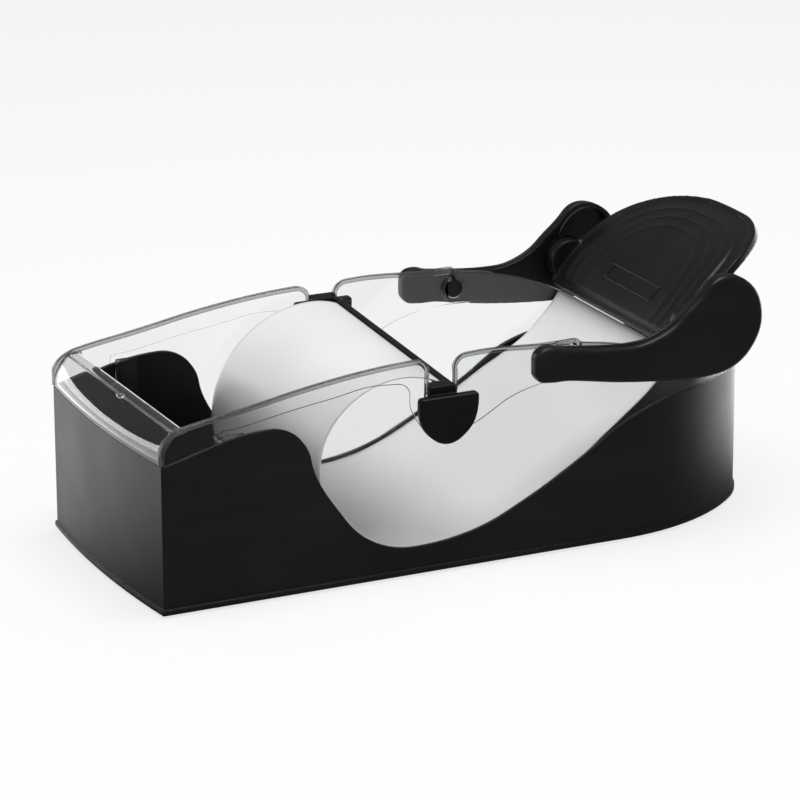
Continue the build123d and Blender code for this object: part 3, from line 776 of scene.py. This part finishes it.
def close_group(group, tree, geometry, material):
    """Ends a group in Realize Instances and Set Material."""
    solid = tree.node("GeometryNodeRealizeInstances", None, geometry)
    painted = tree.node("GeometryNodeSetMaterial", None, solid, Material=material)
    leave = group.nodes.new("NodeGroupOutput")
    group.links.new(painted.socket, leave.inputs[0])
    return group


print("Geometry Nodes helpers ready")


# %% Foil group: a line swept by the foil's width
def smooth_path(tree, line, resolution):
    """A soft curve through a line of edges."""
    path = tree.node("GeometryNodeMeshToCurve", None, line)
    path = tree.node("GeometryNodeCurveSplineType", {"spline_type": "CATMULL_ROM"}, path)
    return tree.node("GeometryNodeSetSplineResolution", None, path, Resolution=resolution)


foil_group, tree, size = new_group("foil_sweep", {"Width": "NodeSocketFloat", "Step": "NodeSocketFloat"})
by_length = {"mode": "LENGTH"}
path = smooth_path(tree, size("Geometry"), 12)
path = tree.node("GeometryNodeResampleCurve", by_length, path, Length=size("Step"))
left_edge = tree.node("ShaderNodeCombineXYZ", None, size("Width") * -0.5)
across = tree.node(
    "GeometryNodeCurvePrimitiveLine",
    {"mode": "DIRECTION"},
    left_edge,
    Direction=(1, 0, 0),
    Length=size("Width"),
)
across = tree.node("GeometryNodeResampleCurve", by_length, across, Length=size("Step"))
strip = tree.node("GeometryNodeCurveToMesh", None, path, across)
strip = tree.node("GeometryNodeSetShadeSmooth", None, strip)
close_group(foil_group, tree, strip, white_foil)
print("foil group:", len(foil_group.nodes), "nodes")

# %% How the foil leaves the straight strip
foil_width, foil_sheet, foil_step = 0.0976, 0.0005, 0.002
trough_swell = 0.078  # the share by which the foil is wider in the trough than at its ends
loop_swell = (62, 26)  # the loop widens from this height downwards, over so many millimetres
tail_swell = (206, 30)  # the tail widens from this place forwards, over so many millimetres
crossbar_slope = math.sin(math.radians(3.4))  # the crossbar's left end stands higher than its right end
rise_from, rise_run, rise_half, rise_above = at(66, 0, 0).x, 0.0535, 0.056, 0.043  # the loop's upper half


def lifted(place):
    """The height of a place on the loop, raised towards the crossbar's high end."""
    share = max(0.0, (place.x - rise_from) / rise_run)
    rise = share**2 * (place.y + rise_half) * crossbar_slope
    return place.z + rise if place.z > rise_above else place.z


def widened(place, body):
    """How much wider than at its ends the foil is here: it fills the trough from wall to wall."""
    if body == "crossbar":
        return 1 + trough_swell * smooth((loop_swell[0] - place.z * 1000) / loop_swell[1])
    return 1 + trough_swell * smooth((tail_swell[0] - behind_corners(place)) / tail_swell[1])


print("foil in the trough in mm:", round(1000 * foil_width * (1 + trough_swell), 1))


# %% Foil
def sheet_piece(name, line, body, start, end):
    """A part of the foil swept along its line, with its real thickness. start and end are not used."""
    start_line = polyline(name, [at(x, 0, z) for x, z in line])
    piece = grown(name + "_face", foil_group, start_line, Width=foil_width, Step=foil_step)
    for point in piece.data.vertices:
        if body == "crossbar":
            point.co.z = lifted(point.co)
        point.co.y *= widened(point.co, body)
    length = sum(math.dist(a, b) for a, b in zip(line, line[1:])) / 1000
    thickness = piece.modifiers.new("thickness", "SOLIDIFY")
    thickness.thickness, thickness.offset = foil_sheet, 0
    piece = plain_mesh(piece, name)
    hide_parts("rolling_foil")
    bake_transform(piece)
    return length


loop_length = sheet_piece("foil_loop", loop_line, "crossbar", at(76, 0, 60), at(117, 0, 75))
tail_length = sheet_piece("foil_tail", tail_line, "lever", at(191, 0, 45.5), at(220, 0, 71))
print("lengths in mm:", round(1000 * loop_length), round(1000 * tail_length))

# %% [markdown]
# ## Beads
# Four details of the real object are thin raised lines: the rounded crown of the clear walls, the ends of the
# front bar, the ridge along the top of each lever arm, and the frame of the blank plate on the paddle. All of
# them are a round bead that follows a path, so one Geometry Nodes group makes them: a circle swept along a
# curve, with its radius as an input.


# %% Bead group
def bead_group(name, material):
    """A group that sweeps a circle along the start line."""
    group, tree, size = new_group(name, {"Radius": "NodeSocketFloat"})
    path = smooth_path(tree, size("Geometry"), 3)
    ring = tree.node("GeometryNodeCurvePrimitiveCircle", None, Resolution=10, Radius=size("Radius"))
    tube = tree.node("GeometryNodeCurveToMesh", None, path, ring, Fill_Caps=True)
    tube = tree.node("GeometryNodeSetShadeSmooth", None, tube)
    return close_group(group, tree, tube, material)


def bead(name, group, places, radius, body, closed=False):
    """A bead along places, with its radius in millimetres, that rides on a body."""
    line = polyline(name + "_line", places, closed)
    piece = grown(name, group, line, Radius=radius / 1000)
    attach(piece, body)
    print(name, len(piece.data.polygons), "faces")


clear_beads = bead_group("clear_bead", clear_edge)
lever_beads = bead_group("lever_bead", lever_black)
print("bead groups: 2")

# %% Crown of the clear walls
crown_side, crown_drop, crown_bead = 55.1, 0.55, 1.05
front_foot = [(0.35, 60.4), (0.35, 63)]
front_run = [0.3, 0.8, 1.6, 2.8, 4.4, 6.2, 8.2, 10.5, 14, 20, 30, 42, 55, 68, 80, 92, 100]
front_run += [104, 106, 107.5, 108.7, 109.5, 109.95]
notch_front, notch_back, notch_heights = 109.75, 121.85, (80.0, 76.0, 73.2)
rear_run = [121.65, 122.1, 122.9, 124.1, 125.6, 127.5, 130, 136, 145, 156, 168, 173.8, 176.2, 186, 193]


def crown_places(wall, side, run):
    """Places just below the top of a wall, wherever a ray from above finds it."""
    places = []
    for x in run:
        spot = at(x, side * crown_side, 200)
        hit = wall.ray_cast(spot, Vector((0, 0, -1)))[0]
        if hit:
            places.append(Vector((spot.x, spot.y, hit.z - crown_drop / 1000)))
    return places


for side, which in right_and_left:
    wall = tree_of("clear_wall_" + which)
    line = [at(x, side * crown_side, z) for x, z in front_foot]
    line += crown_places(wall, side, front_run)
    line += [at(notch_front, side * crown_side, z) for z in notch_heights]
    bead("crown_front_" + which, clear_beads, line, crown_bead, "hood")
    line = [at(notch_back, side * crown_side, z) for z in reversed(notch_heights)]
    line += crown_places(wall, side, rear_run)
    bead("crown_rear_" + which, clear_beads, line, crown_bead, "hood")

# %% Ends of the front bar
bar_end_side, bar_end_bead, bar_end_inset = 53.3, 1.0, Vector((0.0010, 0, -0.0003))
for side, which in right_and_left:
    line = [bar_row_point(row, side * bar_end_side) + bar_end_inset for row in bar_rows]
    bead("bar_end_" + which, clear_beads, line, bar_end_bead, "hood")

# %% Ridge along the top of each arm
# Places behind and above the pivot
arm_top = [(-13.5, 8.0), (-6.4, 7.4), (0, 6.6), (10.2, 5.6), (19.8, 5.3), (26.6, 5.9)]
arm_top += [(34.0, 8.4), (40.0, 11.9), (47.0, 17.6), (53, 22.9), (58.5, 26.4)]
ridge_side, ridge_drop, ridge_bead = 59.4, 0.5, 1.0
for side, which in right_and_left:
    line = [at(pivot_x + x, side * ridge_side, pivot_z + z - ridge_drop) for x, z in arm_top]
    bead("arm_ridge_" + which, lever_beads, line, ridge_bead, "lever")

# %% Frame of the blank plate
paddle_centre, paddle_radius, paddle_start = (290.62, 25.867), 88.193, math.radians(90 + 55.2)


def on_paddle(along, y, height):
    """A place this far along the paddle's bent face from its front edge, and this far above it."""
    angle = paddle_start - along / paddle_radius
    reach = paddle_radius + height
    return at(paddle_centre[0] + reach * math.cos(angle), y, paddle_centre[1] + reach * math.sin(angle))


def rounded_frame(low, high, right, left, corner, steps):
    """Pairs of numbers round a rectangle with rounded corners."""
    centres = [(high - corner, left - corner), (low + corner, left - corner), (low + corner, right + corner)]
    centres.append((high - corner, right + corner))
    turned = [
        (centre, math.radians(90 * (quarter + step / steps)))
        for quarter, centre in enumerate(centres)
        for step in range(steps + 1)
    ]
    return [(c[0] + corner * math.cos(angle), c[1] + corner * math.sin(angle)) for c, angle in turned]


plate_from, plate_to, plate_right, plate_left, plate_corner = 11.8, 18.5, -20.8, 16.4, 1.2
plate_edge = rounded_frame(plate_from, plate_to, plate_right, plate_left, plate_corner, steps=4)
frame_height, frame_bead = 0.75, 0.5
frame_line = [on_paddle(along, y, frame_height) for along, y in plate_edge]
bead("plate_frame", lever_beads, frame_line, frame_bead, "lever", closed=True)

# %% [markdown]
# ## Ribbed hubs
# Between the paddle and each arm sits a short hub with fine ribs. One rib is a small block, and Geometry
# Nodes sets it out round a circle, turned with it.

# %% Rib group
rib_group, tree, size = new_group(
    "hub_ribs", {"Radius": "NodeSocketFloat", "Count": "NodeSocketInt", "Place": "NodeSocketVector"}
)
ring = tree.node(
    "GeometryNodeCurvePrimitiveCircle", None, Resolution=size("Count"), Radius=size("Radius")
)
spots = tree.node("GeometryNodeCurveToPoints", {"mode": "EVALUATED"}, ring)
rib_size = (0.0007, 0.0007, 0.0042)
rib = tree.node("GeometryNodeMeshCube", None, rib_size)
ribs = tree.node(
    "GeometryNodeInstanceOnPoints", None, spots, Instance=rib, Rotation=spots.beside("Rotation")
)
ribs = tree.node(
    "GeometryNodeTransform", None, ribs, Translation=size("Place"), Rotation=(math.pi / 2, 0, 0)
)
close_group(rib_group, tree, ribs, lever_black)
print("rib group:", len(rib_group.nodes), "nodes")

# %% Ribs of the hubs
hub_x, hub_z, hub_side, hub_radius, hub_rib_count = 227, 84, 55.2, 0.0088, 30
for side, which in right_and_left:
    start = polyline("hub_start_" + which, [at(hub_x, 0, hub_z), at(hub_x, 1, hub_z)])
    middle = at(hub_x, side * hub_side, hub_z)
    sizes = {"Radius": hub_radius, "Count": hub_rib_count, "Place": middle}
    made = grown("hub_ribs_" + which, rib_group, start, **sizes)
    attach(made, "lever")
    print(made.name, len(made.data.polygons), "faces")

# %% [markdown]
# ## Moulding mark
# Where the plastic ran into the tool, a small round mark stays on the top of the front bar. It is a flattened
# sphere that stands a little above the face, so that it catches the light as a drop does.

# %% Moulding mark on the front bar
mark_centre, mark_size = (4.6, -4.5, 72.6), (1.5, 2.2, 1.0)
mark_mesh = bpy.data.meshes.new("gate_mark")
shape = bmesh.new()
bmesh.ops.create_uvsphere(shape, u_segments=24, v_segments=12, radius=1.0)
for point in shape.verts:
    point.co = at(*[c + half * p for c, half, p in zip(mark_centre, mark_size, point.co)])
for face in shape.faces:
    face.smooth = True
write_back(shape, mark_mesh)
gate_mark = in_scene("gate_mark", mark_mesh)
mark_mesh.materials.append(clear_acrylic)
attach(gate_mark, "hood")
print("gate mark:", len(mark_mesh.polygons), "faces")

# %% [markdown]
# ## Stage and light
# The object stands on white paper under a large soft lamp, in a pale room. Black plastic shows what it
# mirrors, so the room has three levels, told apart by Light Path's depths. Rays that come straight from the
# camera, also through the clear hood, see white. Rays that gloss has mirrored see a dark room, with a bright
# floor behind the object and at its ends. Light that the surfaces scatter comes from the lamps and a dim sky.


# %% World
def ray_shares(tree):
    """Two wires: 1 for a ray that gloss has mirrored, and 1 for one that has only gone straight through."""
    depth = tree.node("ShaderNodeLightPath", out="Glossy Depth")
    mirrored = depth.maths("MINIMUM", 1.0)
    scattered = depth.beside("Diffuse Depth").maths("MINIMUM", 1.0)
    return mirrored, (1 - mirrored) * (1 - scattered)


ambient, gloss_level = 0.36, 0.17
world = bpy.data.worlds.new("white_studio")
world.use_nodes = True
bpy.context.scene.world = world
tree = Tree(world.node_tree)
background = world.node_tree.nodes["Background"]
mirrored, straight = ray_shares(tree)
world_strength = straight * (1 - ambient) + mirrored * (gloss_level - ambient) + ambient
feed(tree, background, Strength=world_strength)
background.inputs["Color"].default_value = (1, 1, 1, 1)
print("sky for scattered light:", ambient, "and in gloss:", gloss_level)


# %% Floor
def floor_glow(tree):
    """How bright the floor looks in gloss: brighter behind the object and at its ends."""
    place = tree.node("ShaderNodeTexCoord", out="Object")
    x = tree.node("ShaderNodeSeparateXYZ", None, place)
    y = x.beside("Y")
    behind = y.ramp(-0.06, 0.14)
    left_end = x.ramp(-0.08, -0.20)
    right_end = x.ramp(0.14, 0.22) * y.ramp(-0.11, 0.01)
    return behind * (left_end * 0.55 + 0.9) + right_end * 2.6 + 0.14


floor_paper, tree, shader = finish_tree("studio_floor", 0.9, 0.0, (0.93, 0.93, 0.93))
mirrored, straight = ray_shares(tree)
lit = tree.node("ShaderNodeEmission", None, (1, 1, 1, 1), 1.0)
paper = mixed(tree, straight * 0.5 + 0.25, Wire(tree, shader.outputs[0]), lit)
glowing = tree.node("ShaderNodeEmission", None, (1, 1, 1, 1), floor_glow(tree))
show(tree, mixed(tree, mirrored, paper, glowing))
bpy.ops.mesh.primitive_plane_add(size=12)
floor = bpy.context.object
floor.name = "studio_floor"
floor.data.materials.append(floor_paper)
print("floor:", [round(c, 1) for c in floor.dimensions])


# %% Lamps
def soft_lamp(name, place, aim, power, width, height, gloss_only=False):
    """A rectangular soft box at a place, turned to its aim. One for gloss only gives sheen, but no light."""
    lamp = in_scene(name, bpy.data.lights.new(name, "AREA"))
    lamp.data.shape, lamp.data.size, lamp.data.size_y = "RECTANGLE", width, height
    lamp.data.energy = power
    lamp.visible_diffuse = not gloss_only
    lamp.location = place
    lamp.rotation_mode = "QUATERNION"
    lamp.rotation_quaternion = (Vector(aim) - Vector(place)).to_track_quat("-Z", "Y")


soft_lamp("overhead_box", (0.05, -0.10, 1.30), (0, 0, 0.05), 13.0, 1.0, 0.8)
soft_lamp("left_box", (-1.20, 0.30, 0.70), (0, 0, 0.05), 1.0, 0.8, 0.8)
soft_lamp("back_left_box", (-0.62, 1.15, 0.20), (-0.1, 0, 0.05), 2.5, 0.9, 0.30, gloss_only=True)

# %% [markdown]
# ## Size
